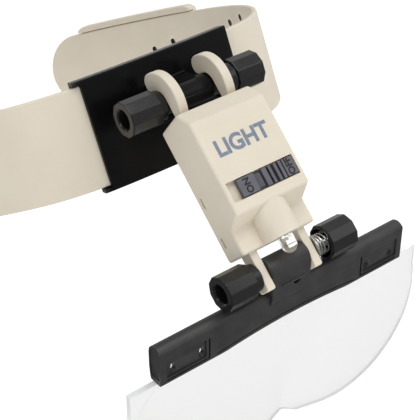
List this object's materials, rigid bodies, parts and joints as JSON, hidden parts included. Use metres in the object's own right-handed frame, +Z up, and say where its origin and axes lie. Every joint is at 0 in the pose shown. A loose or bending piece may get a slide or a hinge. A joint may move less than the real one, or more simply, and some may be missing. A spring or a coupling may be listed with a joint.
{
  "type": "head visor magnifier",
  "caption": "Headband with a tilting LED lamp box and a tilting bar that carries a clear two-lobed magnifying lens, clamped by hand knobs.",
  "frame": {"origin": "middle of the flat inner face of the brow pad, which rests on the forehead", "axes": "+X towards the wearer's left, -Y forwards away from the forehead, +Z up"},
  "size_m": [0.1457, 0.2118, 0.1338],
  "materials": {
    "cream_plastic": "satin moulded cream plastic",
    "gloss_black_plastic": "glossy moulded black plastic",
    "black_plastic": "satin moulded black plastic",
    "dark_grey_plastic": "matt dark grey plastic",
    "clear_acrylic": "polished clear acrylic",
    "steel": "plated steel",
    "copper": "plated spring brass",
    "board": "green solder mask",
    "foam": "closed-cell foam"
  },
  "bodies": {
    "headband": {"headband_strap": "cream_plastic", "brow_plate": "gloss_black_plastic", "brow_pad": "foam", "upper_bolt": "steel"},
    "keeper": {"keeper_sleeve": "cream_plastic"},
    "upper_left_knob": {"upper_knob_left": "black_plastic"},
    "upper_right_knob": {"upper_knob_right": "black_plastic"},
    "lamp_box": {"lamp_front_shell": "cream_plastic", "switch_body": "steel", "coin_cell_1": "steel", "coin_cell_2": "steel", "contact_front": "copper", "contact_rear": "copper", "circuit_board": "board", "led_resistor": "cream_plastic", "led_bulb": "clear_acrylic", "led_lead_cathode": "steel", "led_lead_anode": "steel", "wire_rear": "black_plastic", "lower_bolt": "steel", "spring_washer": "steel", "clamp_spring": "steel"},
    "battery_cover": {"lamp_back_cover": "cream_plastic"},
    "slider": {"switch_slider": "dark_grey_plastic"},
    "lower_left_knob": {"lower_knob_left": "black_plastic"},
    "lower_right_knob": {"lower_knob_right": "black_plastic"},
    "lens_holder": {"lens_bar": "black_plastic"},
    "lens": {"lens_plate": "clear_acrylic"}
  },
  "joints": [
    {"name": "lamp_tilt", "type": "hinge", "parent": "headband", "child": "lamp_box", "pos_m": [0, -0.01973, 0.00445], "axis": [1, 0, 0], "range_deg": [-95, 15]},
    {"name": "lens_tilt", "type": "hinge", "parent": "lamp_box", "child": "lens_holder", "pos_m": [0, -0.04527, -0.05013], "axis": [1, 0, 0], "range_deg": [-95, 20]},
    {"name": "lens_pull", "type": "slide", "parent": "lens_holder", "child": "lens", "axis": [0, 0.454, -0.891], "range_m": [0, 0.01]},
    {"name": "switch_slide", "type": "slide", "parent": "lamp_box", "child": "slider", "axis": [1, 0, 0], "range_m": [-0.0034, 0]},
    {"name": "cover_pull", "type": "slide", "parent": "lamp_box", "child": "battery_cover", "axis": [0, 0.9291, -0.3697], "range_m": [0, 0.01]},
    {"name": "upper_left_turn", "type": "hinge", "parent": "headband", "child": "upper_left_knob", "pos_m": [0, -0.01973, 0.00445], "axis": [1, 0, 0], "range_deg": [-180, 180]},
    {"name": "upper_right_turn", "type": "hinge", "parent": "headband", "child": "upper_right_knob", "pos_m": [0, -0.01973, 0.00445], "axis": [1, 0, 0], "range_deg": [-180, 180]},
    {"name": "lower_left_turn", "type": "hinge", "parent": "lamp_box", "child": "lower_left_knob", "pos_m": [0, -0.04527, -0.05013], "axis": [1, 0, 0], "range_deg": [-180, 180]},
    {"name": "lower_right_turn", "type": "hinge", "parent": "lamp_box", "child": "lower_right_knob", "pos_m": [0, -0.04527, -0.05013], "axis": [1, 0, 0], "range_deg": [-180, 180]},
    {"name": "keeper_slide", "type": "hinge", "parent": "headband", "child": "keeper", "pos_m": [-0.13196, 0.05046, 0], "axis": [0, 0, 1], "range_deg": [-2.2, 2.2]}
  ]
}
